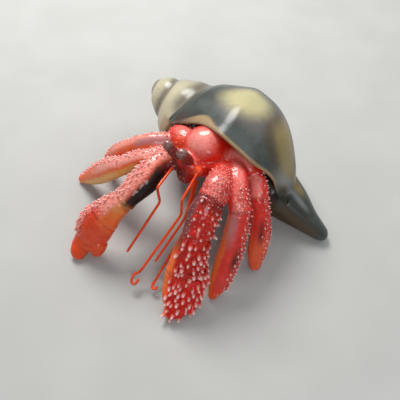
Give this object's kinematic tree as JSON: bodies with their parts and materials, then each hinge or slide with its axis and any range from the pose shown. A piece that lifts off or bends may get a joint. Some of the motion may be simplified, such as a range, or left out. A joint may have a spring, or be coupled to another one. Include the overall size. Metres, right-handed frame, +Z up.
{
  "type": "hermit crab garden figure",
  "caption": "Painted cast-resin hermit crab figure standing in a whelk shell, with spiny red claws and legs, stalked eyes and bent wire feelers.",
  "frame": {"origin": "on the floor, under the middle of the figure's bounding box", "axes": "+X to the crab's left, -Y the way the crab faces, +Z up"},
  "size_m": [0.2418, 0.2331, 0.1104],
  "materials": {
    "shell": "glossy airbrushed slate grey and cream on cast resin",
    "crab_red": "glossy varnished red with pale-tipped spines",
    "crab_orange": "glossy varnished orange red with pink and tan overspray",
    "crab_maroon": "glossy dark maroon paint",
    "eye": "very glossy dark brown paint",
    "wire": "satin orange-red paint on stiff wire"
  },
  "bodies": {
    "root": {"abdomen": "crab_red", "antenna_base_left": "crab_orange", "antenna_base_right": "crab_orange", "antenna_left": "wire", "antenna_right": "wire", "antennule_left": "wire", "antennule_right": "wire", "carapace": "crab_red", "eye_left": "eye", "eye_right": "eye", "eyestalk_left": "crab_maroon", "eyestalk_right": "crab_maroon", "left_claw_carpus": "crab_red", "left_claw_fixed_finger": "crab_red", "left_claw_merus": "crab_red", "left_claw_movable_finger": "crab_red", "left_claw_palm": "crab_red", "left_leg_1_dactyl": "crab_red", "left_leg_1_merus": "crab_red", "left_leg_1_propodus": "crab_red", "left_leg_2_dactyl": "crab_red", "left_leg_2_merus": "crab_red", "left_leg_2_propodus": "crab_red", "mouthparts": "crab_maroon", "right_claw_carpus": "crab_orange", "right_claw_fixed_finger": "crab_orange", "right_claw_merus": "crab_orange", "right_claw_movable_finger": "crab_orange", "right_claw_palm": "crab_orange", "right_leg_1_dactyl": "crab_orange", "right_leg_1_merus": "crab_orange", "right_leg_1_propodus": "crab_orange", "right_leg_2_dactyl": "crab_orange", "right_leg_2_merus": "crab_orange", "right_leg_2_propodus": "crab_orange", "shell": "shell", "thorax": "crab_red"}
  },
  "joints": []
}
